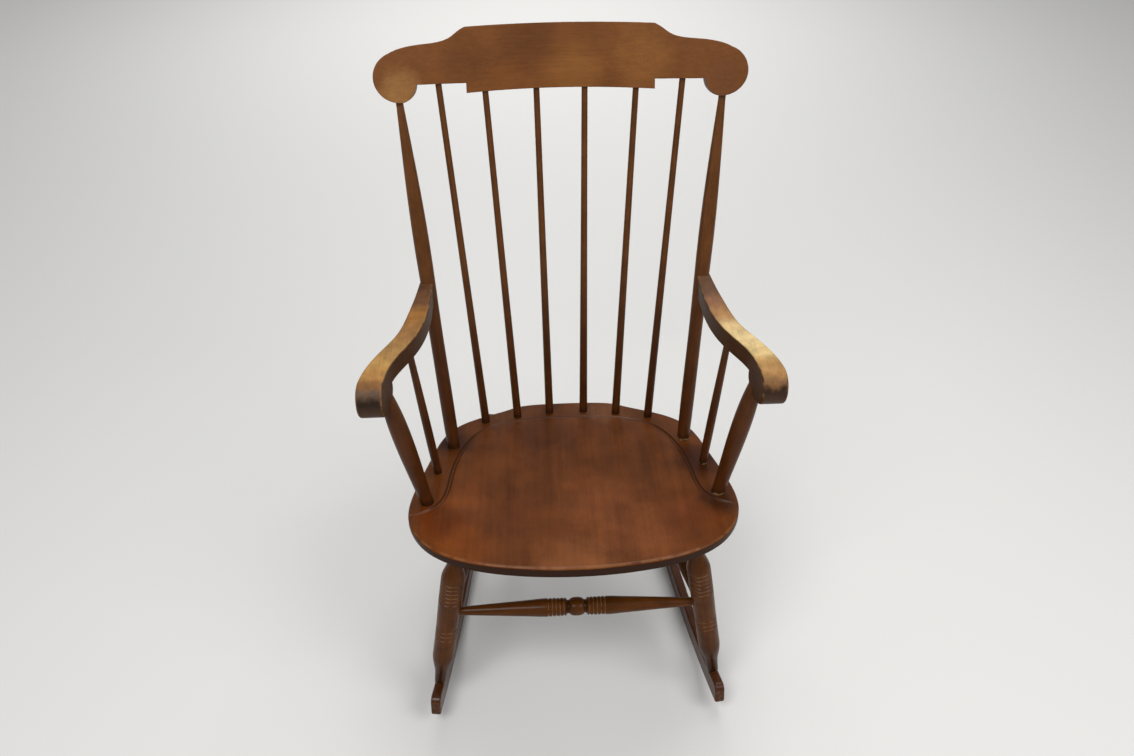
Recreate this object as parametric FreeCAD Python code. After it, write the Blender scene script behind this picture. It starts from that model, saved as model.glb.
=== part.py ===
import FreeCAD, Part
import math
import os

# Boston rocking chair, in millimetres. X is across the chair, +X at the sitter's left, Y runs
# from the front to the back and Z is up. While the pieces are made, Y is 0 at the widest part
# of the seat; at the end the whole chair is shifted so that the origin is under its middle.

# Seat
seat_tilt = 7.4
seat_height = 394
seat_thickness = 32
seat_side_height = 17
seat_flank_height = 8
seat_bevel = 30
seat_edge_radius = 4.5
dish_depth = 9
dish_middle = 84
dish_reach = 200
gutter_radius = 5
gutter_depth = 2.5

# Crest rail
crest_front = 402
crest_height = 939
crest_lean = 17
crest_bend_radius = 650
crest_thickness = 20
crest_middle_height = 96.5
crest_shoulder = (146, 92.5)
crest_scroll_middle = (247, 22)
crest_scroll_radius = 37.2
crest_step = 148
crest_notch = 223.5
crest_notch_height = 10.5
crest_step_drop = -4.5
crest_edge_radius = 1

# Places where the sticks stand on the top of the seat, across and back from its widest line
post_foot = (206, 197)
arm_post_foot = (239, 39)
arm_spindle_foot = (228, 120)
back_spindle_feet = [(32, 297), (92, 286), (151, 272)]
back_spindle_heads = [38.5, 119.5, 191]
post_head = 250.5
post_head_height = -15.3

# Arms
arm_back_end = 277
arm_front_end = 5
arm_top_back = 664
arm_slope = 0.094
arm_thickness = 34
arm_post_head = (287, 69)
arm_spindle_head = (253.5, 149)
arm_edge_radius = 4
arm_scroll_radius = 32
arm_scroll_middle = 45.5

# Legs and stretchers
front_leg_head = (189, -47)
front_leg_foot = -73
front_leg_spread = 241.5
rear_leg_head = (150, 178)
rear_leg_foot = 262
leg_bulge_radius = 19.5
leg_ankle_radius = 10
leg_neck_radius = 10.5
leg_neck_length = 12
leg_tenon_radius = 6
front_stretcher_height = 233
rear_stretcher_height = 205
side_stretcher_heights = (196, 176)

# Rockers
rocker_radius = 1150
rocker_height = 36
rocker_thickness = 17
rocker_edge_radius = 3
rocker_nose_radius = 13
rocker_toe_radius = 4
rocker_tail_radius = 15
rocker_toe_in = 7
rocker_lowest = 145
rocker_front_end = -125
rocker_rear_end = 592
rocker_flat = 24

# Sockets and fastenings
seat_socket_depth = 22
crest_socket_depth = 24
arm_socket_depth = 18
leg_socket_depth = 20
stretcher_socket_depth = 16
rocker_socket_depth = 24
pin_radius = 2.5
screw_radius = 2.2
screw_length = 42
plug_radius = 4.5
plug_depth = 4

os.makedirs("parts", exist_ok=True)
tilt = math.radians(seat_tilt)
lean = math.radians(crest_lean)
up = FreeCAD.Vector(0, 0, 1)


def vector(x, y, z):
    return FreeCAD.Vector(x, y, z)


def spline(points, **ends):
    curve = Part.BSplineCurve()
    curve.interpolate(points, **ends)
    return curve.toShape()


def line(start, end):
    return Part.LineSegment(start, end).toShape()


def arc(start, middle, end):
    return Part.Arc(start, middle, end).toShape()


def mirrored(shape):
    return shape.mirror(vector(0, 0, 0), vector(1, 0, 0))


def on_line(start, end, distance):
    """The point at this distance from start, towards end and past it."""
    direction = end.sub(start)
    direction.normalize()
    return start.add(direction * distance)


def stick_between(solid, foot, head):
    """Lays a solid made about +Z from the origin on the line from foot to head."""
    solid.Placement = FreeCAD.Placement(foot, FreeCAD.Rotation(up, head.sub(foot)))
    return solid


def peg(start, end, radius):
    direction = end.sub(start)
    return Part.makeCylinder(radius, direction.Length, start, direction)


def turned(stretches, foot, head):
    """Turns a stick about the line from foot to head. A stretch is a list of rows, each the
    distance from foot and the radius there; three rows or more are joined by a smooth curve."""
    edges = []
    for rows in stretches:
        points = [vector(radius, 0, distance) for distance, radius in rows]
        if len(points) == 2:
            edges.append(line(points[0], points[1]))
        else:
            edges.append(spline(points))
    first = edges[0].Vertexes[0].Point
    last = edges[-1].Vertexes[-1].Point
    edges.insert(0, line(vector(0, 0, first.z), first))
    edges.append(line(last, vector(0, 0, last.z)))
    edges.append(line(vector(0, 0, last.z), vector(0, 0, first.z)))
    profile = Part.Face(Part.Wire(edges))
    return stick_between(profile.revolve(vector(0, 0, 0), up, 360), foot, head)


def grooved(low, high, radius_low, radius_high, count, width):
    """Rows for a turned stretch with round grooves cut into it, evenly spaced."""

    def row(distance, cut=0):
        share = (distance - low) / (high - low)
        return distance, radius_low + (radius_high - radius_low) * share - cut

    pitch = (high - low) / count
    stretches = []
    for number in range(count):
        middle = low + pitch * (number + 0.5)
        stretches.append([row(middle - pitch / 2), row(middle - width / 2)])
        stretches.append([row(middle - width / 2), row(middle, width / 2.4), row(middle + width / 2)])
        stretches.append([row(middle + width / 2), row(middle + pitch / 2)])
    return stretches


def seat_point(across, back, below=0):
    """A point on the flat top of the seat blank, or square below it."""
    top = vector(across, back, seat_height - back * math.tan(tilt))
    return top.sub(vector(0, math.sin(tilt), math.cos(tilt)) * below)


def in_seat_plane(shape):
    """Tips a shape that was drawn flat so that it lies in the plane of the seat."""
    shape.Placement = FreeCAD.Placement(vector(0, 0, seat_height),
                                        FreeCAD.Rotation(vector(1, 0, 0), -seat_tilt))
    return shape


def crest_point(across, height, depth):
    """A point of the crest rail: across, up its face, and back from the face's middle."""
    return vector(across,
                  crest_front + height * math.sin(lean) + depth * math.cos(lean),
                  crest_height + height * math.cos(lean) - depth * math.sin(lean))


def crest_middle_depth(across):
    """How far back the middle of the bent rail's thickness lies at this place."""
    return math.sqrt((crest_bend_radius + crest_thickness / 2) ** 2 - across ** 2) - crest_bend_radius


def arm_top(back):
    return arm_top_back - (arm_back_end - back) * arm_slope


def arm_point(place, below=0):
    return vector(place[0], place[1], arm_top(place[1]) - below)


def rocker_turn():
    return math.radians(rocker_toe_in)


def rocker_top(back):
    """Height of the rocker's upper edge at this distance back."""
    reach = (back - rocker_lowest) / math.cos(rocker_turn())
    inner = rocker_radius - rocker_height
    return rocker_radius - math.sqrt(inner ** 2 - reach ** 2)


def rocker_across(back):
    """How far from the middle the rocker stands at this distance back."""
    return front_leg_spread - (back - front_leg_foot) * math.tan(rocker_turn())


def seat_outline(wider, longer, height):
    """The seat's outline, made wider and longer at each side by these amounts."""
    half = [(0, -130), (92, -123.5), (172, -104), (236, -63), (267, 4), (264, 70),
            (243, 166), (205, 258), (118, 308), (0, 329)]
    middle = (half[0][1] + half[-1][1]) / 2
    widen = 1 + wider / 267
    stretch = 1 + longer / (half[-1][1] - middle)
    points = [vector(x * widen, (middle + (y - middle) * stretch) / math.cos(tilt), height)
              for x, y in half]
    side = spline(points, InitialTangent=vector(1, 0, 0), FinalTangent=vector(-1, 0, 0))
    return Part.Wire([side, mirrored(side)])


def make_seat_blank():
    """The plank, bevelled below so that its side is tall in front and thin at the flanks."""
    plank = Part.Face(seat_outline(0, 0, 0)).extrude(vector(0, 0, -seat_thickness))
    wider = seat_bevel * seat_flank_height / (seat_thickness - seat_flank_height)
    longer = seat_bevel * seat_side_height / (seat_thickness - seat_side_height)
    bevelled = Part.makeLoft([seat_outline(wider, longer, 0),
                              seat_outline(-seat_bevel, -seat_bevel, -seat_thickness)], True, True)
    blank = plank.common(bevelled)
    rim = [e for e in blank.Edges if abs(e.BoundBox.ZMax) < 0.01 and abs(e.BoundBox.ZMin) < 0.01]
    return blank.makeFillet(seat_edge_radius, rim)


def make_dish():
    """The shallow hollow of the seat, part of a very large ball."""
    radius = (dish_reach ** 2 + dish_depth ** 2) / (2 * dish_depth)
    return Part.makeSphere(radius, vector(0, dish_middle, radius - dish_depth))


def make_gutter():
    """The groove that parts the raised rear shelf from the hollow of the seat."""
    half = [(290, 12), (243, 13), (219, 36), (205, 100), (193, 172), (150, 249), (70, 276)]
    route = half + [(0, 281)] + [(-x, y) for x, y in reversed(half)]
    height = gutter_radius - gutter_depth
    path = Part.Wire([spline([vector(x, y, height) for x, y in route])])
    start = vector(route[0][0], route[0][1], height)
    ring = Part.Wire([Part.makeCircle(gutter_radius, start, vector(1, 0, 0))])
    return path.makePipeShell([ring], True, False)


def make_seat(sockets):
    seat = make_seat_blank()
    seat = seat.cut(make_dish())
    seat = seat.cut(make_gutter())
    seat = in_seat_plane(seat)
    return seat.cut(sockets)


def crest_half_outline():
    """Half of the crest rail's outline, from the middle of its top to the middle of its foot."""
    middle_x, middle_z = crest_scroll_middle

    def on_scroll(degrees):
        turn = math.radians(degrees)
        return vector(middle_x + crest_scroll_radius * math.cos(turn),
                      middle_z + crest_scroll_radius * math.sin(turn), 0)

    shoulder = vector(crest_shoulder[0], crest_shoulder[1], 0)
    top = vector(0, crest_middle_height, 0)
    quarter = vector(shoulder.x / 2, crest_middle_height - (crest_middle_height - shoulder.y) / 4, 0)
    hollow = [shoulder, vector(157, 86.5, 0), vector(170, 77.5, 0), vector(188, 71.5, 0),
              vector(210, 69, 0), vector(236, 65.5, 0), on_scroll(68)]
    notch = vector(crest_notch, crest_notch_height, 0)
    step_top = vector(crest_step, crest_notch_height, 0)
    step_foot = vector(crest_step, crest_step_drop, 0)
    return [arc(top, quarter, shoulder),
            spline(hollow),
            arc(on_scroll(68), on_scroll(-10), on_scroll(-98)),
            arc(on_scroll(-98), vector(229, -5.5, 0), notch),
            line(notch, step_top),
            line(step_top, step_foot),
            arc(step_foot, vector(crest_step / 2, crest_step_drop / 4, 0), vector(0, 0, 0))]


def make_crest(sockets):
    half = crest_half_outline()
    outline = Part.Wire(Part.__sortEdges__(half + [mirrored(edge) for edge in half]))
    board = Part.Face(outline).extrude(vector(0, 0, 160))
    board.translate(vector(0, 0, -60))
    bend_middle = vector(0, -150, crest_bend_radius)
    behind = Part.makeCylinder(crest_bend_radius + crest_thickness, 400, bend_middle, vector(0, 1, 0))
    before = Part.makeCylinder(crest_bend_radius, 400, bend_middle, vector(0, 1, 0))
    crest = board.common(behind.cut(before))
    crest = crest.makeFillet(crest_edge_radius, [edge for edge in crest.Edges if is_crest_rim(edge)])
    forward = vector(0, -math.cos(lean), math.sin(lean))
    upward = vector(0, math.sin(lean), math.cos(lean))
    crest.Placement = FreeCAD.Placement(vector(0, crest_front, crest_height),
                                        FreeCAD.Rotation(vector(1, 0, 0), upward, forward, "XYZ"))
    return crest.cut(sockets)


def is_crest_rim(edge):
    """True for the edges that bound the rail's front and back faces."""
    middle = edge.valueAt((edge.FirstParameter + edge.LastParameter) / 2)
    start = edge.valueAt(edge.FirstParameter)
    depths = [math.hypot(p.x, p.z - crest_bend_radius) - crest_bend_radius for p in (start, middle)]
    return max(abs(d) for d in depths) < 0.01 or max(abs(d - crest_thickness) for d in depths) < 0.01


def back_spindle_line(number):
    foot = seat_point(*back_spindle_feet[number])
    across = back_spindle_heads[number]
    if across < crest_step:
        height = crest_step_drop * (across / crest_step) ** 2
    else:
        height = crest_notch_height
    return foot, crest_point(across, height, crest_middle_depth(across))


def make_back_spindle(number):
    foot, head = back_spindle_line(number)
    length = head.sub(foot).Length
    return turned([[(-seat_socket_depth, 7.4), (5, 7.4)],
                   [(5, 7.4), (0.25 * length, 6.7), (0.5 * length, 6), (0.75 * length, 5.35),
                    (length - 5, 4.9)],
                   [(length - 5, 4.9), (length + crest_socket_depth, 4.9)]], foot, head)


def post_line():
    return seat_point(*post_foot), crest_point(post_head, post_head_height, crest_middle_depth(post_head))


def make_post():
    """A back post: round below the arm, with a flat planed on its front from there up."""
    foot, head = post_line()
    length = head.sub(foot).Length
    post = turned([[(-seat_socket_depth, 10.8), (6, 10.8)],
                   [(6, 10.8), (0.16 * length, 11.7), (0.34 * length, 11.4), (0.48 * length, 12.1),
                    (0.61 * length, 12.8), (0.73 * length, 11.8), (0.885 * length, 8.5),
                    (length - 6, 5.7)],
                   [(length - 6, 5.7), (length + crest_socket_depth, 5.7)]], foot, head)
    flat_start = on_line(foot, head, 0.5 * length).add(vector(0, -12.4, 0))
    flat_end = on_line(foot, head, length - 6).add(vector(0, -3.2, 0))
    along = flat_end.sub(flat_start)
    normal = vector(1, 0, 0).cross(along)
    normal.normalize()
    plane = Part.makeBox(60, along.Length + 4, 20, vector(-30, 0, 0))
    plane.Placement = FreeCAD.Placement(flat_start, FreeCAD.Rotation(
        vector(1, 0, 0), along, normal, "XYZ")).multiply(plane.Placement)
    return post.cut(plane)


def make_arm_blank():
    """The plan of an arm, sawn from a thick plank whose front end is a round scroll."""
    outer = [(242, arm_back_end), (247, 240), (256, 192), (268, 148), (288.5, 111), (305.5, 79),
             (315.5, 48), (318.5, 26), (318.5, arm_front_end)]
    inner = [(279, arm_front_end), (279.8, 25), (278, 42), (274.8, 60), (270.8, 76), (259, 101),
             (241, 134), (226.5, 178), (221, 232), (220, arm_back_end)]

    def flat(rows):
        return [vector(x, y, 0) for x, y in rows]

    edges = [spline(flat(outer)), line(vector(*outer[-1], 0), vector(*inner[0], 0)),
             spline(flat(inner)), line(vector(*inner[-1], 0), vector(*outer[0], 0))]
    plan = Part.Face(Part.Wire(edges)).extrude(vector(0, 0, 800))
    slope = math.atan(arm_slope)
    middle = arm_point((0, arm_scroll_middle), arm_scroll_radius / math.cos(slope))
    crown = middle.add(vector(0, -math.sin(slope), math.cos(slope)) * arm_scroll_radius)
    back = arm_point((0, arm_back_end))
    below = vector(0, 0, arm_thickness)
    plank = Part.makePolygon([crown, back, back.sub(below), crown.sub(below), crown])
    plank = Part.Face(plank).extrude(vector(400, 0, 0))
    scroll = Part.makeCylinder(arm_scroll_radius, 400, middle, vector(1, 0, 0))
    blank = plan.common(plank.fuse(scroll)).removeSplitter()
    long_edges = [edge for edge in blank.Edges if is_arm_rim(edge)]
    return blank.makeFillet(arm_edge_radius, long_edges)


def is_arm_rim(edge):
    """True for the edges between an arm's sides and its top, scroll and underside."""
    return edge.BoundBox.XLength < 90 and edge.BoundBox.YLength > 2


def make_arm(post, sockets):
    arm = make_arm_blank().cut(post)
    for socket in sockets:
        arm = arm.cut(socket)
    return arm


def arm_post_line():
    return seat_point(*arm_post_foot), arm_point(arm_post_head, arm_thickness)


def make_arm_post(arm):
    """An arm post, whose shoulder is cut to the underside of the arm."""
    foot, head = arm_post_line()
    length = head.sub(foot).Length
    body = turned([[(-seat_socket_depth, 10.8), (8, 10.8)],
                   [(8, 10.8), (0.22 * length, 12.3), (0.45 * length, 14.4), (0.64 * length, 14.8),
                    (0.78 * length, 13.5), (0.88 * length, 11.3), (0.97 * length, 8.5)]], foot, head)
    return body.cut(arm).fuse(arm_post_tenon())


def arm_post_tenon():
    foot, head = arm_post_line()
    return peg(on_line(head, foot, arm_scroll_radius + 10),
               on_line(foot, head, head.sub(foot).Length + arm_socket_depth), 7.5)


def arm_spindle_line():
    return seat_point(*arm_spindle_foot), arm_point(arm_spindle_head, arm_thickness)


def make_arm_spindle():
    foot, head = arm_spindle_line()
    length = head.sub(foot).Length
    return turned([[(-seat_socket_depth, 6.6), (5, 6.6)],
                   [(5, 6.6), (0.3 * length, 7.1), (0.65 * length, 6.4), (length - 5, 5.4)],
                   [(length - 5, 5.4), (length + arm_socket_depth, 5.4)]], foot, head)


def leg_line(head, foot):
    top = seat_point(head[0], head[1], seat_thickness)
    return vector(rocker_across(foot), foot, rocker_top(foot)), top


def make_leg(head, foot, rocker):
    """A turned leg with six rings at its shoulder and three lower down."""
    low, high = leg_line(head, foot)
    length = high.sub(low).Length
    bulge = leg_bulge_radius
    ankle = [[(-4.5, leg_ankle_radius - 0.8), (5, leg_ankle_radius)],
             [(5, leg_ankle_radius), (20, leg_ankle_radius + 0.7), (35, leg_ankle_radius + 2.4),
              (50, bulge - 4), (63, bulge - 1.7), (78, bulge - 1)],
             [(78, bulge - 1), (118, bulge - 1.2)]]
    lower_rings = grooved(118, 148, bulge - 1.2, bulge - 1.1, 3, 3)
    waist = [[(148, bulge - 1.1), (178, bulge - 0.5), (206, bulge)]]
    upper_rings = grooved(206, 259, bulge, bulge, 6, 3.2)
    neck_start = length - leg_neck_length
    neck = [[(259, bulge), (267, bulge - 1.2), (279, bulge - 4.6), (291, leg_neck_radius + 1.3),
             (neck_start, leg_neck_radius)],
            [(neck_start, leg_neck_radius), (length + leg_socket_depth, leg_neck_radius)]]
    leg = turned(ankle + lower_rings + waist + upper_rings + neck, low, high)
    return leg.cut(rocker).fuse(leg_foot_tenon(head, foot))


def leg_head_socket(head, foot):
    low, high = leg_line(head, foot)
    length = high.sub(low).Length
    return peg(on_line(low, high, length - leg_neck_length),
               on_line(low, high, length + leg_socket_depth), leg_neck_radius)


def leg_foot_tenon(head, foot):
    low, high = leg_line(head, foot)
    return peg(on_line(low, high, 8), on_line(high, low, high.sub(low).Length + rocker_socket_depth),
               leg_tenon_radius)


def at_height(head, foot, height):
    """The point of a leg's middle line at this height."""
    low, high = leg_line(head, foot)
    return low.add(high.sub(low) * ((height - low.z) / (high.z - low.z)))


def stretcher_ends(start, end):
    """Where a stretcher enters its two legs, and the ends of its tenons inside them."""
    length = end.sub(start).Length
    enter = leg_bulge_radius - 1
    return length, enter, enter - stretcher_socket_depth


def make_plain_stretcher(start, end):
    length, enter, inside = stretcher_ends(start, end)
    return turned([[(inside, 7), (enter + 3, 7)],
                   [(enter + 3, 7), (0.27 * length, 9.6), (0.5 * length, 12.5), (0.73 * length, 9.6),
                    (length - enter - 3, 7)],
                   [(length - enter - 3, 7), (length - inside, 7)]], start, end)


def make_front_stretcher(start, end):
    """The front stretcher: a ball in its middle between coves, with five rings each side."""
    length, enter, inside = stretcher_ends(start, end)
    half = length / 2
    left = [[(inside, 7), (enter + 3, 7)],
            [(enter + 3, 7), (half - 72, 13.9)],
            [(half - 72, 13.9), (half - 62, 14.7), (half - 50, 15.1)]]
    left += grooved(half - 50, half - 18, 15.1, 14.6, 5, 3)
    left += [[(half - 18, 14.6), (half - 14, 11), (half - 10.5, 13)]]
    ball = [[(half - 10.5, 13), (half - 6, 14.9), (half, 15.3), (half + 6, 14.9), (half + 10.5, 13)]]
    right = [[(half + 10.5, 13), (half + 14, 11), (half + 18, 14.6)]]
    right += grooved(half + 18, half + 50, 14.6, 15.1, 5, 3)
    right += [[(half + 50, 15.1), (half + 62, 14.7), (half + 72, 13.9)],
              [(half + 72, 13.9), (length - enter - 3, 7)],
              [(length - enter - 3, 7), (length - inside, 7)]]
    return turned(left + ball + right, start, end)


def stretcher_tenons(start, end):
    length, enter, inside = stretcher_ends(start, end)
    return [peg(on_line(start, end, inside), on_line(start, end, enter + 3), 7),
            peg(on_line(end, start, inside), on_line(end, start, enter + 3), 7)]


def make_rocker_blank():
    """A rocker: a bent runner with a short flat worn at its lowest place and rounded ends."""

    def at(reach, radius):
        return vector(0, reach * radius / rocker_radius,
                      rocker_radius - math.sqrt(radius ** 2 - (reach * radius / rocker_radius) ** 2))

    sole = rocker_radius
    upper = rocker_radius - rocker_height
    front = (rocker_front_end - rocker_lowest) / math.cos(rocker_turn())
    rear = (rocker_rear_end - rocker_lowest) / math.cos(rocker_turn())
    flat = rocker_flat / 2
    edges = [line(at(-flat, sole), at(flat, sole)),
             arc(at(flat, sole), at(rear / 2, sole), at(rear, sole)),
             line(at(rear, sole), at(rear, upper)),
             arc(at(rear, upper), at(0, upper), at(front, upper)),
             line(at(front, upper), at(front, sole)),
             arc(at(front, sole), at(front / 2, sole), at(-flat, sole))]
    runner = Part.Face(Part.Wire(edges)).extrude(vector(rocker_thickness, 0, 0))
    corners = ((at(front, upper), rocker_nose_radius), (at(front, sole), rocker_toe_radius),
               (at(rear, upper), rocker_tail_radius), (at(rear, sole), rocker_tail_radius))
    for corner, radius in corners:
        across = [edge for edge in runner.Edges if edge.BoundBox.XLength > 1
                  and math.hypot(edge.BoundBox.Center.y - corner.y, edge.BoundBox.Center.z - corner.z) < 0.1]
        runner = runner.makeFillet(radius, across)
    rims = [edge for edge in runner.Edges if edge.BoundBox.XLength < 0.01]
    runner = runner.makeFillet(rocker_edge_radius, rims)
    runner.translate(vector(-rocker_thickness / 2, 0, 0))
    runner.rotate(vector(0, 0, 0), up, rocker_toe_in)
    runner.translate(vector(rocker_across(rocker_lowest), rocker_lowest, 0))
    return runner


def cross_pin(head, foot):
    """A pin that goes through the rocker and the leg's tenon in it."""
    low, high = leg_line(head, foot)
    middle = on_line(high, low, high.sub(low).Length + 12)
    half = rocker_thickness / 2
    across = vector(math.cos(rocker_turn()), math.sin(rocker_turn()), 0)
    return peg(middle.sub(across * half), middle.add(across * half), pin_radius)


def crest_pin():
    """A pin from the back of the crest rail through the top of a post."""
    foot, head = post_line()
    middle = on_line(foot, head, head.sub(foot).Length + 14)
    back = vector(0, math.cos(lean), -math.sin(lean))
    return peg(middle.sub(back * 7), middle.add(back * 8), pin_radius)


def arm_screw_line():
    """The line of the screw that holds an arm, from the back of the post forwards."""
    foot, head = post_line()
    height = arm_top_back - arm_thickness / 2
    middle = foot.add(head.sub(foot) * ((height - foot.z) / (head.z - foot.z)))
    forward = vector(0, -1, -arm_slope)
    forward.normalize()
    return middle, forward


def make_arm_screw():
    middle, forward = arm_screw_line()
    head_place = middle.sub(forward * 6)
    shank = Part.makeCylinder(screw_radius, screw_length, head_place, forward)
    head = Part.makeCylinder(plug_radius - 0.3, 3, head_place.sub(forward * 3), forward)
    return shank.fuse(head)


def make_arm_plug():
    """The wooden plug that covers the screw's head, trimmed to the round of the post."""
    middle, forward = arm_screw_line()
    return Part.makeCylinder(plug_radius, plug_depth + 4, middle.sub(forward * (9 + plug_depth + 4)), forward)


def build():
    nodes = {}
    rocker_blank = make_rocker_blank()
    front_leg = (front_leg_head, front_leg_foot)
    rear_leg = (rear_leg_head, rear_leg_foot)

    stretchers = {}
    front_left = at_height(*front_leg, front_stretcher_height)
    rear_left = at_height(*rear_leg, rear_stretcher_height)
    front_right = vector(-front_left.x, front_left.y, front_left.z)
    rear_right = vector(-rear_left.x, rear_left.y, rear_left.z)
    side_front = at_height(*front_leg, side_stretcher_heights[0])
    side_rear = at_height(*rear_leg, side_stretcher_heights[1])
    nodes["front_stretcher"] = make_front_stretcher(front_right, front_left)
    nodes["rear_stretcher"] = make_plain_stretcher(rear_right, rear_left)
    side = make_plain_stretcher(side_front, side_rear)
    stretchers["front"] = stretcher_tenons(front_right, front_left)
    stretchers["rear"] = stretcher_tenons(rear_right, rear_left)
    stretchers["side"] = stretcher_tenons(side_front, side_rear)

    legs = {}
    for name, leg in (("front", front_leg), ("rear", rear_leg)):
        solid = make_leg(*leg, rocker_blank)
        for tenon in stretchers[name] + stretchers["side"]:
            solid = solid.cut(tenon)
        legs[name] = solid.cut(cross_pin(*leg))

    rocker = rocker_blank
    for leg in (front_leg, rear_leg):
        rocker = rocker.cut(leg_foot_tenon(*leg)).cut(cross_pin(*leg))

    arm_blank = make_arm_blank()
    post = make_post()
    arm_post = make_arm_post(arm_blank)
    arm_spindle = make_arm_spindle()
    screw = make_arm_screw()
    plug = make_arm_plug()
    arm = make_arm(post, [arm_post_tenon(), arm_spindle, screw])
    post = post.cut(screw)
    plug = plug.common(post)
    post = post.cut(plug).cut(crest_pin())

    spindles = [make_back_spindle(number) for number in range(3)]
    tops = spindles + [make_post(), crest_pin()]
    nodes["crest_rail"] = make_crest(tops + [mirrored(top) for top in tops])

    feet = spindles + [make_post(), arm_post, arm_spindle]
    feet += [leg_head_socket(*front_leg), leg_head_socket(*rear_leg)]
    nodes["seat"] = make_seat(feet + [mirrored(foot) for foot in feet])

    pairs = {"back_post": post, "arm": arm, "arm_post": arm_post, "arm_spindle": arm_spindle,
             "front_leg": legs["front"], "rear_leg": legs["rear"], "rocker": rocker,
             "side_stretcher": side}
    for name, solid in pairs.items():
        nodes[name + "_left"] = solid
        nodes[name + "_right"] = mirrored(solid)
    for number, solid in enumerate(spindles):
        nodes["back_spindle_%d" % (4 + number)] = solid
        nodes["back_spindle_%d" % (3 - number)] = mirrored(solid)

    pins = [cross_pin(*front_leg), cross_pin(*rear_leg)]
    nodes["rocker_pins"] = Part.makeCompound(pins + [mirrored(pin) for pin in pins])
    nodes["crest_pins"] = Part.makeCompound([crest_pin(), mirrored(crest_pin())])
    nodes["arm_screws"] = Part.makeCompound([screw, mirrored(screw)])
    nodes["arm_plugs"] = Part.makeCompound([plug, mirrored(plug)])
    return nodes


nodes = build()
whole = Part.makeCompound(list(nodes.values()))
box = whole.optimalBoundingBox(False)
middle = (box.YMin + box.YMax) / 2
balance = vector(0, 0, 0)
volume = 0
for name, shape in nodes.items():
    shape.translate(vector(0, -middle, -box.ZMin))
    shape.exportStep("parts/%s.step" % name)
    for solid in shape.Solids:
        balance = balance.add(solid.CenterOfMass * solid.Volume)
        volume += solid.Volume
print("%d nodes, middle at %.3f, box %.1f x %.1f x %.1f" % (
    len(nodes), middle, box.XLength, box.YLength, box.ZLength))
print("centre of mass %.2f behind the widest line, %.1f high" % (
    balance.y / volume + middle, balance.z / volume))
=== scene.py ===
import math
import bpy
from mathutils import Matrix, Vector


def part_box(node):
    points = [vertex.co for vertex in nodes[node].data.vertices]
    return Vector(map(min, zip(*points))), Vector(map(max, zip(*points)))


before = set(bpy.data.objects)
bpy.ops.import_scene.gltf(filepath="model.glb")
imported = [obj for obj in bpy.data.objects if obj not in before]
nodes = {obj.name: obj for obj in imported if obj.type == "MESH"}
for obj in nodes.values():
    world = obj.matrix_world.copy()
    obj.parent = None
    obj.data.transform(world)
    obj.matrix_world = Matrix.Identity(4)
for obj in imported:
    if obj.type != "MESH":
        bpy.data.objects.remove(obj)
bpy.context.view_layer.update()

print("frame loaded:", len(nodes), "nodes")

camera = {
    "place": (-0.05082, -1.241972, 1.46207),
    "turn": (51.9591, 0.4057, -2.6114),   # degrees about X, Y and Z
    "lens": 28.794,
    "sensor": 36,
    "far": 100,
}


def makeCamera():
    data = bpy.data.cameras.new("camera")
    data.sensor_fit = "HORIZONTAL"
    data.sensor_width = camera["sensor"]
    data.lens = camera["lens"]
    data.clip_end = camera["far"]
    thing = bpy.data.objects.new("camera", data)
    thing.location = camera["place"]
    thing.rotation_euler = [math.radians(angle) for angle in camera["turn"]]
    bpy.context.scene.collection.objects.link(thing)
    bpy.context.scene.camera = thing


makeCamera()
print("camera set")


# Shader sums: a wire holds one socket, and an expression on wires adds Math nodes
class Wire:
    def __init__(self, paint, socket):
        self.paint = paint
        self.socket = socket

    def joined(self, operation, other, flipped=False):
        pair = (other, self) if flipped else (self, other)
        return self.paint.node("ShaderNodeMath", {"operation": operation}, {0: pair[0], 1: pair[1]})

    def __add__(self, other):
        return self.joined("ADD", other)

    def __sub__(self, other):
        return self.joined("SUBTRACT", other)

    def __rsub__(self, other):
        return self.joined("SUBTRACT", other, True)

    def __mul__(self, other):
        return self.joined("MULTIPLY", other)

    def __truediv__(self, other):
        return self.joined("DIVIDE", other)

    def __abs__(self):
        return self.joined("ABSOLUTE", 0.0)

    __radd__ = __add__
    __rmul__ = __mul__


class Graph:
    # the nodes of a material or of the world
    def __init__(self, owner):
        owner.use_nodes = True
        self.tree = owner.node_tree

    def feed(self, node, sockets):
        for key, value in sockets.items():
            if isinstance(value, Wire):
                self.tree.links.new(value.socket, node.inputs[key])
            else:
                node.inputs[key].default_value = value

    def node(self, kind, settings, inputs, out=0):
        made = self.tree.nodes.new(kind)
        for key, value in settings.items():
            setattr(made, key, value)
        self.feed(made, inputs)
        return Wire(self, made.outputs[out])


# Wood as a whole: how its pattern runs and how it changes the tone, the roughness and the relief
grainLook = {
    "stretch": 0.965,            # the share of the length taken out of the pattern
    "shift": (1, 0.7, 0.3),      # which way a seed moves it
    "poreRange": (0.52, 0.68),
    "blotchRough": 0.22, "poreRough": 0.16, "poreRelief": 0.6,
    "coatRough": 0.2,
}
patchLook = {"scale": 26, "swing": 1.5, "core": 0.3, "edge": 1.25}


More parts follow.
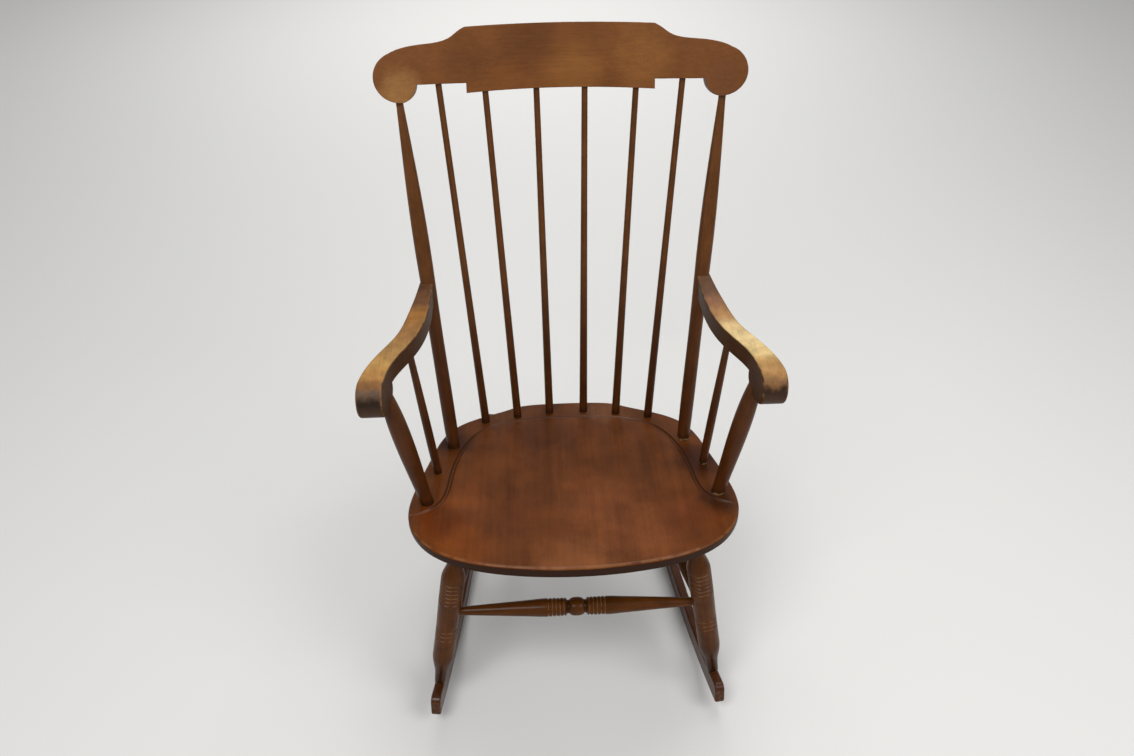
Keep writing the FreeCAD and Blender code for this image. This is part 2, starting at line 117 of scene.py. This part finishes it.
class Paint(Graph):
    # one material and the nodes that colour it
    def __init__(self, name):
        self.material = bpy.data.materials.new(name)
        super().__init__(self.material)
        self.shader = self.tree.nodes["Principled BSDF"]
        self.place = self.node("ShaderNodeTexCoord", {}, {}, "Object")
        self.facing = self.node("ShaderNodeTexCoord", {}, {}, "Normal")

    def vector(self, operation, first, second):
        return self.node("ShaderNodeVectorMath", {"operation": operation}, {0: first, 1: second})

    def dot(self, place, direction):
        return self.node("ShaderNodeVectorMath", {"operation": "DOT_PRODUCT"},
                         {0: place, 1: direction}, "Value")

    def apart(self, place, point):
        return self.node("ShaderNodeVectorMath", {"operation": "DISTANCE"},
                         {0: place, 1: point}, "Value")

    def scaled(self, vector, amount):
        return self.node("ShaderNodeVectorMath", {"operation": "SCALE"}, {0: vector, "Scale": amount})

    def noise(self, place, scale, detail=3, rough=0.55):
        return self.node("ShaderNodeTexNoise", {}, {"Vector": place, "Scale": scale, "Detail": detail,
                                                    "Roughness": rough}, "Fac")

    def ramp(self, value, low, high):
        # 0 below low, 1 above high, smooth between
        return self.node("ShaderNodeMapRange", {"interpolation_type": "SMOOTHSTEP"},
                         {"Value": value, "From Min": low, "From Max": high, "To Min": 0, "To Max": 1})

    def band(self, value, low, high, soft):
        # 1 between low and high, 0 outside
        above = self.ramp(value, low - soft, low + soft)
        return above * (1 - self.ramp(value, high - soft, high + soft))

    def blend(self, first, second, share):
        pair = [value if isinstance(value, Wire) else (*value, 1) for value in (first, second)]
        return self.node("ShaderNodeMix", {"data_type": "RGBA"}, {0: share, 6: pair[0], 7: pair[1]}, 2)

    def shade(self, colour, amount):
        # the colour times an amount
        colour = colour if isinstance(colour, Wire) else (*colour, 1)
        grey = self.node("ShaderNodeCombineColor", {}, {0: amount, 1: amount, 2: amount})
        return self.node("ShaderNodeMix", {"data_type": "RGBA", "blend_type": "MULTIPLY"},
                         {0: 1.0, 6: colour, 7: grey}, 2)

    def stops(self, value, rows):
        # a colour that changes along a value, from row to row of place and colour
        colour = rows[0][1]
        for before, after in zip(rows, rows[1:]):
            colour = self.blend(colour, after[1], self.ramp(value, before[0], after[0]))
        return colour

    def patches(self, colour, spots, seed):
        # soft uneven areas of another tone: place, reach and colour
        look = patchLook
        ragged = self.noise(self.vector("ADD", self.place, (seed, seed, 0)), look["scale"], 4) - 0.5
        for place, reach, tone in spots:
            distance = self.apart(self.place, place) + ragged * reach * look["swing"]
            share = 1 - self.ramp(distance, reach * look["core"], reach * look["edge"])
            colour = self.blend(colour, tone, share)
        return colour

    def finish(self, colour, look, grain):
        height, roughness = grain
        bump = self.node("ShaderNodeBump", {},
                         {"Height": height, "Distance": look["relief"], "Strength": 1.0})
        self.feed(self.shader, {
            "Base Color": colour, "Roughness": roughness, "Normal": bump,
            "Specular IOR Level": look["shine"], "Coat Weight": look["coat"],
            "Coat Roughness": grainLook["coatRough"],
        })
        return self.material


# Stained wood: fine lines, streaks along the grain and soft blotches darken or lighten a tone
def grained(paint, tone, look, direction, seed):
    lengthwise = paint.scaled(direction, paint.dot(paint.place, direction))
    flattened = paint.vector("SUBTRACT", paint.place, paint.scaled(lengthwise, grainLook["stretch"]))
    grain = paint.vector("ADD", flattened, tuple(seed * part for part in grainLook["shift"]))
    pores = paint.noise(grain, look["pores"], 2, 0.6)
    streak = paint.noise(grain, look["streaks"], 4, 0.62)
    blotch = paint.noise(paint.vector("ADD", paint.place, (seed, 0, -seed)), look["blotches"], 3, 0.5)
    amount = (1 + look["streakDepth"] * (streak - 0.5) + look["blotchDepth"] * (blotch - 0.5)
              - look["poreDepth"] * paint.ramp(pores, *grainLook["poreRange"]))
    colour = paint.shade(tone, amount)
    rough = (look["rough"] + grainLook["blotchRough"] * (blotch - 0.5)
             + grainLook["poreRough"] * (pores - 0.5))
    return colour, (streak - grainLook["poreRelief"] * pores, rough)


def longAxis(node):
    # the lower end of a stick and the direction of its middle line
    points = [vertex.co for vertex in nodes[node].data.vertices]
    low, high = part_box(node)
    index = max(range(3), key=lambda number: high[number] - low[number])
    endShare = 0.02
    reach = (high[index] - low[index]) * endShare

    def middle(chosen):
        return sum(chosen, Vector()) / len(chosen)

    first = middle([point for point in points if point[index] < low[index] + reach])
    second = middle([point for point in points if point[index] > high[index] - reach])
    direction = (second - first).normalized()
    start = min((point - first).dot(direction) for point in points)
    return first + direction * start, direction


def wear(node, material):
    if len(nodes[node].data.materials) == 0:
        nodes[node].data.materials.append(material)
    for slot in nodes[node].material_slots:
        slot.material = material


seatUp = (0, 0.1288, 0.99167)   # square to the top of the seat
footLevel = 0.3644              # a height along it, 3 mm above the seat's top

stickLook = {
    "low": (0.062, 0.0170, 0.0030), "high": (0.098, 0.0340, 0.0080), "change": (0.46, 0.70),
    "pores": 1600, "poreDepth": 0.20, "streaks": 420, "streakDepth": 0.9,
    "blotches": 34, "blotchDepth": 0.8, "rough": 0.36, "shine": 0.14, "coat": 0.08, "relief": 0.00010,
    "footShade": 0.55, "footReach": (0.001, 0.012),
    "ring": (0.26, 0.15, 0.075), "ringReach": (0.0006, 0.0016), "ringBreak": (0.40, 0.56),
    "ringShare": 0.55,
}


def paintStick(node, seed, ringed):
    paint = Paint(node + "_wood")
    look = stickLook
    direction = longAxis(node)[1]
    height = paint.dot(paint.place, (0, 0, 1))
    # darker low down, partly the stain and partly painted shade below the arms
    tone = paint.stops(height, [(look["change"][0], look["low"]), (look["change"][1], look["high"])])
    colour, grain = grained(paint, tone, look, direction, seed)
    # painted shade darkens the stick where it stands on the seat; on some the edge there is cracked open
    # and pale
    above = paint.dot(paint.place, seatUp) - footLevel
    around = paint.noise(paint.place, 130, 2)
    lighter = (1 - look["footShade"]) * paint.ramp(above, *look["footReach"])
    colour = paint.shade(colour, look["footShade"] + lighter)
    if ringed:
        line = (1 - paint.ramp(above, *look["ringReach"])) * paint.ramp(around, *look["ringBreak"])
        colour = paint.blend(colour, look["ring"], line * look["ringShare"])
    wear(node, paint.finish(colour, look, grain))


ringedFeet = ("arm_post_left", "arm_spindle_left", "back_post_left")
sticks = ["back_post_left", "back_post_right", "arm_post_left", "arm_post_right",
          "arm_spindle_left", "arm_spindle_right"]
sticks += ["back_spindle_%d" % number for number in range(1, 7)]
for number, name in enumerate(sticks):
    paintStick(name, 3.1 + number * 1.7, name in ringedFeet)
print("sticks painted")

legLook = {
    "low": (0.034, 0.0100, 0.0020), "high": (0.078, 0.0230, 0.0030), "change": (0.02, 0.11),
    "line": (0.23, 0.110, 0.040), "lineSoft": 0.0002, "lineReach": (0.0004, 0.0013),
    "lineBreak": (0.34, 0.5), "lineShare": 0.75,
    "joint": (0.19, 0.100, 0.050), "jointReach": (0.0012, 0.003), "jointBreak": (0.4, 0.5),
    "jointShare": 0.8,
    "pores": 1500, "poreDepth": 0.20, "streaks": 300, "streakDepth": 1.1,
    "blotches": 30, "blotchDepth": 1.1, "rough": 0.30, "shine": 0.06, "coat": 0.14, "relief": 0.00010,
    "tenon": 0.024,
    "rings": [(0.118, 0.148, 3), (0.206, 0.259, 6)],   # from the foot up the leg: start, end, count
}


def ringLines(paint, along, look):
    # thin lines in the middle of each groove
    lines = 0
    for low, high, count in look["rings"]:
        pitch = (high - low) / count
        inside = paint.band(along, low, high, look["lineSoft"])
        cell = ((along - low) / pitch).joined("FRACT", 0.0)
        lines = lines + inside * (1 - paint.ramp(abs(cell - 0.5) * pitch, *look["lineReach"]))
    return lines


def paintLeg(node, seed):
    paint = Paint(node + "_wood")
    look = legLook
    start, direction = longAxis(node)
    along = paint.dot(paint.vector("SUBTRACT", paint.place, start), direction) - look["tenon"]
    tone = paint.stops(along, [(look["change"][0], look["low"]), (look["change"][1], look["high"])])
    colour, grain = grained(paint, tone, look, direction, seed)
    worn = paint.noise(paint.place, 90, 3)
    lines = ringLines(paint, along, look) * paint.ramp(worn, *look["lineBreak"])
    colour = paint.blend(colour, look["line"], lines * look["lineShare"])
    joint = (1 - paint.ramp(along, *look["jointReach"])) * paint.ramp(worn, *look["jointBreak"])
    colour = paint.blend(colour, look["joint"], joint * look["jointShare"])
    wear(node, paint.finish(colour, look, grain))


for number, name in enumerate(("front_leg_left", "front_leg_right", "rear_leg_left", "rear_leg_right")):
    paintLeg(name, 5.3 + number * 2.3)

stretcherLook = dict(legLook, high=(0.074, 0.0225, 0.0035), rings=[(0.018, 0.050, 5)], lineShare=0.6,
                     coves=(0.0115, 0.0175, 0.001), coveShade=0.5)


def paintStretcher(node, seed, direction):
    paint = Paint(node + "_wood")
    look = stretcherLook
    across = abs(paint.dot(paint.place, (1, 0, 0)))
    colour, grain = grained(paint, look["high"], look, direction, seed)
    if node == "front_stretcher":
        worn = paint.noise(paint.place, 90, 3)
        lines = ringLines(paint, across, look) * paint.ramp(worn, *look["lineBreak"])
        colour = paint.blend(colour, look["line"], lines * look["lineShare"])
        # painted shade in the coves either side of the middle ball
        coves = paint.band(across, *look["coves"])
        colour = paint.shade(colour, 1 - look["coveShade"] * coves)
    wear(node, paint.finish(colour, look, grain))


for number, name in enumerate(("front_stretcher", "rear_stretcher", "side_stretcher_left",
                               "side_stretcher_right")):
    paintStretcher(name, 9.2 + number, longAxis(name)[1])
print("legs and stretchers painted")

runnerLook = {
    "tone": (0.055, 0.0165, 0.0045),
    "scuffAndSheen": (0.14, 0.065, 0.030), "scuffAndSheenShare": 0.55,
    "tipRange": (-0.352, -0.335), "tipBreak": (0.52, 0.60),
    "soleRange": (0.6, 0.95), "soleBreak": (0.45, 0.6),
    "pores": 1500, "poreDepth": 0.20, "streaks": 260, "streakDepth": 0.8,
    "blotches": 26, "blotchDepth": 0.9, "rough": 0.28, "shine": 0.10, "coat": 0.24, "relief": 0.00010,
}


def paintRunner(node, seed):
    paint = Paint(node + "_wood")
    look = runnerLook
    colour, grain = grained(paint, look["tone"], look, longAxis(node)[1], seed)
    # pale scuffs along the sole, and along the rounded front end pale scuffs with a painted highlight
    back = paint.dot(paint.place, (0, 1, 0))
    down = paint.dot(paint.facing, (0, 0, -1))
    rub = paint.noise(paint.place, 160, 4, 0.65)
    scuffsAndSheen = (1 - paint.ramp(back, *look["tipRange"])) * paint.ramp(rub, *look["tipBreak"])
    scuffsAndSheen = scuffsAndSheen + paint.ramp(down, *look["soleRange"]) * paint.ramp(rub, *look["soleBreak"])
    colour = paint.blend(colour, look["scuffAndSheen"], scuffsAndSheen * look["scuffAndSheenShare"])
    wear(node, paint.finish(colour, look, grain))


paintRunner("rocker_left", 2.2)
paintRunner("rocker_right", 4.9)

seatLook = {
    "tone": (0.096, 0.0260, 0.0042), "side": (0.024, 0.0070, 0.0015),
    "gutter": (0.024, 0.0075, 0.0020), "rim": (0.21, 0.085, 0.028),
    "pores": 1300, "poreDepth": 0.16, "streaks": 90, "streakDepth": 0.75,
    "blotches": 17, "blotchDepth": 1.1, "rough": 0.38, "shine": 0.12, "coat": 0.11, "relief": 0.00012,
    "grain": (0, 0.99167, -0.1288),
    # the outline's middle, and half its width and depth squared
    "middle": -0.128, "ellipse": (0.0645, 0.0484),
    "inside": (0.93, 1.0), "turn": (0.90, 0.985),
    "fade": (0.10, 0.17), "fadeShare": 0.7, "gutterShare": 0.85,
    "front": (-0.145, -0.100), "rimBand": (0.55, 0.97, 0.03), "rimBreak": (0.40, 0.56), "rimShare": 0.5,
    "sideRange": (0.1, 0.5), "coatRange": (0.2, 0.7),
    "spots": [
        ((-0.051, 0.010, 0.36), 0.085, (0.066, 0.0180, 0.0040)),
        ((0.030, 0.040, 0.36), 0.050, (0.082, 0.0225, 0.0050)),
        ((-0.187, -0.296, 0.40), 0.060, (0.140, 0.0340, 0.0040)),
        ((-0.214, -0.235, 0.40), 0.050, (0.104, 0.0215, 0.0025)),
        ((-0.170, -0.187, 0.39), 0.055, (0.122, 0.0320, 0.0060)),
        ((0.002, -0.340, 0.41), 0.070, (0.148, 0.0460, 0.0120)),
        ((0.043, -0.200, 0.39), 0.080, (0.128, 0.0360, 0.0085)),
        ((0.100, -0.278, 0.40), 0.070, (0.134, 0.0380, 0.0090)),
        ((-0.090, -0.230, 0.40), 0.050, (0.092, 0.0240, 0.0045)),
        ((0.185, -0.245, 0.40), 0.055, (0.112, 0.0270, 0.0050)),
        ((0.238, -0.212, 0.39), 0.035, (0.042, 0.0115, 0.0025)),
        ((-0.214, -0.012, 0.37), 0.050, (0.044, 0.0115, 0.0025)),
        ((0.228, -0.100, 0.38), 0.050, (0.044, 0.0115, 0.0025)),
        ((0.065, 0.087, 0.35), 0.060, (0.120, 0.0440, 0.0150)),
        ((-0.110, 0.075, 0.35), 0.050, (0.085, 0.0280, 0.0070)),
    ],
}


def paintSeat():
    paint = Paint("seat_wood")
    look = seatLook
    tone = paint.patches(look["tone"], look["spots"], 1.7)
    colour, grain = grained(paint, tone, look, Vector(look["grain"]), 1.3)
    level = paint.dot(paint.facing, seatUp)
    x = paint.dot(paint.place, (1, 0, 0))
    y = paint.dot(paint.place, (0, 1, 0)) - look["middle"]
    # 1 a little inside the outline
    out = (x * x) / look["ellipse"][0] + (y * y) / look["ellipse"][1]
    inner = 1 - paint.ramp(out, *look["inside"])
    # painted shade: the groove around the back of the seat is darkened
    turning = 1 - paint.ramp(level, *look["turn"])
    # the groove is less dark across the back
    fading = 1 - look["fadeShare"] * paint.ramp(y, *look["fade"])
    colour = paint.blend(colour, look["gutter"], turning * inner * fading * look["gutterShare"])
    # the rounded rim is rubbed pale in front, and the side below it is dark
    rub = paint.noise(paint.place, 60, 4)
    front = 1 - paint.ramp(y, *look["front"])
    rim = paint.band(level, *look["rimBand"]) * (1 - inner) * paint.ramp(rub, *look["rimBreak"])
    colour = paint.blend(colour, look["rim"], rim * front * look["rimShare"])
    colour = paint.blend(colour, look["side"], 1 - paint.ramp(level, *look["sideRange"]))
    wear("seat", paint.finish(colour, look, grain))
    paint.feed(paint.shader, {"Coat Weight": paint.ramp(level, *look["coatRange"]) * look["coat"]})


paintSeat()
print("seat painted")

crestLook = {
    "tone": (0.148, 0.0490, 0.0095), "side": (0.030, 0.0100, 0.0028), "edge": (0.30, 0.185, 0.105),
    "pores": 1100, "poreDepth": 0.18, "streaks": 240, "streakDepth": 0.55,
    "blotches": 18, "blotchDepth": 0.55, "rough": 0.46, "shine": 0.16, "coat": 0.05, "relief": 0.00010,
    "bendPoint": (0, -0.4476, 1.129), "bendAxis": (0, 0.29237, 0.9563), "bend": 0.650,
    "sideDepth": (0.0006, 0.0188, 0.0003), "sideShare": 0.9,
    "edgeDepth": (0.0003, 0.0014, 0.0002), "edgeBreak": (0.50, 0.62), "edgeShare": 0.7,
    "spots": [
        ((-0.045, 0.190, 1.010), 0.060, (0.112, 0.0360, 0.0070)),
        ((0.020, 0.185, 0.965), 0.050, (0.190, 0.0700, 0.0140)),
        ((0.130, 0.175, 0.985), 0.050, (0.190, 0.0700, 0.0140)),
        ((-0.150, 0.170, 0.980), 0.040, (0.125, 0.0410, 0.0080)),
        ((-0.252, 0.130, 0.955), 0.035, (0.255, 0.1150, 0.0320)),
        ((0.252, 0.130, 0.955), 0.036, (0.138, 0.0480, 0.0130)),
    ],
}


def paintCrest():
    paint = Paint("crest_wood")
    look = crestLook
    tone = paint.patches(look["tone"], look["spots"], 4.1)
    colour, grain = grained(paint, tone, look, Vector((1, 0, 0)), 6.4)
    offset = paint.vector("SUBTRACT", paint.place, look["bendPoint"])
    up = paint.scaled(look["bendAxis"], paint.dot(offset, look["bendAxis"]))
    depth = paint.apart(offset, up) - look["bend"]
    rub = paint.noise(paint.place, 70, 4, 0.6)
    sides = paint.band(depth, *look["sideDepth"])
    colour = paint.blend(colour, look["side"], sides * look["sideShare"])
    # pale rounded edges, partly rubbed and partly a painted highlight
    edges = paint.band(depth, *look["edgeDepth"]) * paint.ramp(rub, *look["edgeBreak"])
    colour = paint.blend(colour, look["edge"], edges * look["edgeShare"])
    wear("crest_rail", paint.finish(colour, look, grain))


paintCrest()

armLook = {
    "side": (0.056, 0.0220, 0.0065), "edge": (0.30, 0.165, 0.068),
    "pores": 1300, "poreDepth": 0.16, "streaks": 240, "streakDepth": 0.5,
    "blotches": 75, "blotchDepth": 0.95, "rough": 0.50, "shine": 0.16, "coat": 0.03, "relief": 0.00012,
    "grain": (0, 0.9956, 0.0936),
    "scroll": (-0.1824, 0.610, 0.032),     # its middle's place back and up, and its radius
    "topSwing": 0.014, "upwardSwing": 0.25, "upward": (0.45, 0.80),
    "rollAside": (0.3, 0.6), "rollBack": 0.004, "rollHigh": (-0.012, 0.01),
    "rubBreak": (0.44, 0.60), "topBand": (0.35, 0.85, 0.06), "topAside": (0.35, 0.5),
    "rimBand": (0.35, 0.93, 0.04), "rimInner": (-0.0045, -0.0035), "rimOuter": (0.001, 0.003),
    "edgeShare": 0.42,
    # colours along the top, from the hand end's roll to the back; arm_left's run lighter, in part as
    # painted light, since more light fell on that arm
    "arm_right": [(-0.2138, (0.020, 0.0110, 0.0060)), (-0.207, (0.075, 0.0400, 0.0220)),
                  (-0.196, (0.170, 0.0750, 0.0240)), (-0.176, (0.310, 0.1540, 0.0430)),
                  (-0.145, (0.345, 0.1920, 0.0560)), (-0.120, (0.275, 0.1500, 0.0480)),
                  (-0.080, (0.225, 0.1080, 0.0340)), (-0.035, (0.235, 0.1020, 0.0230)),
                  (-0.005, (0.125, 0.0530, 0.0200)), (0.030, (0.090, 0.0380, 0.0160))],
    "arm_left": [(-0.2138, (0.030, 0.0150, 0.0070)), (-0.207, (0.180, 0.0860, 0.0310)),
                 (-0.196, (0.315, 0.1660, 0.0550)), (-0.174, (0.350, 0.1940, 0.0650)),
                 (-0.150, (0.540, 0.3900, 0.1700)), (-0.115, (0.560, 0.4150, 0.2000)),
                 (-0.087, (0.500, 0.3500, 0.1650)), (-0.061, (0.320, 0.1650, 0.0620)),
                 (-0.028, (0.200, 0.0930, 0.0450)), (0.005, (0.105, 0.0500, 0.0260))],
}


def paintArm(node, seed):
    paint = Paint(node + "_wood")
    look = armLook
    back = paint.dot(paint.place, (0, 1, 0))
    high = paint.dot(paint.place, (0, 0, 1))
    level = paint.dot(paint.facing, (0, 0, 1))
    aside = abs(paint.dot(paint.facing, (1, 0, 0)))
    ragged = paint.noise(paint.vector("ADD", paint.place, (seed, 0, 0)), 70, 4) - 0.5
    top = paint.stops(back + ragged * look["topSwing"], look[node])
    # the stain holds on the sides and under the roll of the hand end
    upward = paint.ramp(level + ragged * look["upwardSwing"], *look["upward"])
    middleBack, middleHigh, radius = look["scroll"]
    ahead = 1 - paint.ramp(back, middleBack - look["rollBack"], middleBack + look["rollBack"])
    roll = (1 - paint.ramp(aside, *look["rollAside"])) * ahead
    raised = paint.ramp(high, *[middleHigh + step for step in look["rollHigh"]])
    covered = 1 - (1 - upward) * (1 - roll * raised)
    tone = paint.blend(look["side"], top, covered)
    colour, grain = grained(paint, tone, look, Vector(look["grain"]), seed)
    # pale edges, partly rubbed and partly a painted highlight: the top's long edges, and the rim of the
    # scroll's round side
    rub = paint.ramp(paint.noise(paint.place, 90, 4), *look["rubBreak"])
    topEdge = paint.band(level, *look["topBand"]) * paint.ramp(aside, *look["topAside"])
    y = back - middleBack
    z = high - middleHigh
    around = (y * y + z * z).joined("SQRT", 0.0)
    inner = paint.ramp(around, *[radius + step for step in look["rimInner"]])
    outer = 1 - paint.ramp(around, *[radius + step for step in look["rimOuter"]])
    rim = paint.band(aside, *look["rimBand"]) * inner * outer
    edges = (topEdge + rim).joined("MINIMUM", 1.0) * rub
    colour = paint.blend(colour, look["edge"], edges * look["edgeShare"])
    wear(node, paint.finish(colour, look, grain))


paintArm("arm_right", 7.7)
paintArm("arm_left", 2.6)
print("crest and arms painted")

pinLook = dict(stickLook, tone=(0.075, 0.0270, 0.0090), streaks=700)
screwLook = {"tone": (0.55, 0.54, 0.52), "dull": (0.38, 0.37, 0.36), "dullRange": (0.45, 0.65),
             "turned": (1, 0.02, 1), "rough": 0.28, "roughSwing": 0.2, "metal": 1.0,
             "relief": 0.00003, "shine": 0.5, "coat": 0.0}


def paintPins(node, direction, seed):
    paint = Paint(node + "_wood")
    colour, grain = grained(paint, pinLook["tone"], pinLook, Vector(direction), seed)
    wear(node, paint.finish(colour, pinLook, grain))


def paintScrews():
    paint = Paint("screw_steel")
    look = screwLook
    turning = paint.noise(paint.vector("MULTIPLY", paint.place, look["turned"]), 2400, 2)
    spots = paint.noise(paint.place, 500, 3)
    colour = paint.blend(look["tone"], look["dull"], paint.ramp(spots, *look["dullRange"]))
    paint.feed(paint.shader, {"Metallic": look["metal"]})
    wear("arm_screws", paint.finish(colour, look, (turning, look["rough"] + look["roughSwing"] * spots)))


paintPins("rocker_pins", (1, 0, 0), 1.1)
paintPins("crest_pins", (0, 1, 0), 2.4)
paintPins("arm_plugs", (0, 1, 0), 3.8)
paintScrews()
print("pins and screws painted")

room = {
    "floor": 14,
    "floorColour": (0.68, 0.675, 0.66), "floorRough": 0.9,
    "backdropColour": (0.70, 0.70, 0.69),
    "sky": 0.36,
    "lamps": [   # name, place, aim, size, power, whether it shows in the gloss
        ("key", (-0.9, -1.6, 2.7), (0, -0.1, 0.5), 1.4, 38, True),
        ("fill", (1.7, -1.4, 2.3), (0, -0.1, 0.5), 1.6, 31, True),
        ("top", (0.3, 0.8, 2.9), (0, 0, 0.4), 1.6, 26, True),
        ("behind", (0, 3.9, 2.6), (0, 4.2, 0), 3.0, 75, False),
    ],
}


def makeRoom():
    size = room["floor"] / 2
    mesh = bpy.data.meshes.new("floor")
    mesh.from_pydata([(-size, -size, 0), (size, -size, 0), (size, size, 0), (-size, size, 0)],
                     [], [(0, 1, 2, 3)])
    floor = bpy.data.objects.new("floor", mesh)
    bpy.context.scene.collection.objects.link(floor)
    paint = Paint("floor_plain")
    paint.feed(paint.shader, {"Base Color": (*room["floorColour"], 1), "Roughness": room["floorRough"]})
    mesh.materials.append(paint.material)
    # the sky lights the room softly, and the camera sees a pale backdrop in its place
    world = bpy.data.worlds.new("sky")
    sky = Graph(world)
    light = sky.tree.nodes["Background"]
    sky.feed(light, {"Color": (1, 1, 1, 1), "Strength": room["sky"]})
    backdrop = sky.node("ShaderNodeBackground", {}, {"Color": (*room["backdropColour"], 1)})
    seen = sky.node("ShaderNodeLightPath", {}, {}, "Is Camera Ray")
    mix = sky.node("ShaderNodeMixShader", {}, {0: seen, 1: Wire(sky, light.outputs[0]), 2: backdrop})
    sky.feed(sky.tree.nodes["World Output"], {"Surface": mix})
    bpy.context.scene.world = world
    for name, place, aim, spread, power, shown in room["lamps"]:
        data = bpy.data.lights.new(name, "AREA")
        data.shape = "DISK"
        data.size = spread
        data.energy = power
        lamp = bpy.data.objects.new(name, data)
        lamp.visible_glossy = shown
        lamp.location = place
        lamp.rotation_euler = (Vector(aim) - Vector(place)).to_track_quat("-Z", "Y").to_euler()
        bpy.context.scene.collection.objects.link(lamp)
    bpy.context.scene.view_settings.view_transform = "Standard"


makeRoom()
print("room and lamps made")
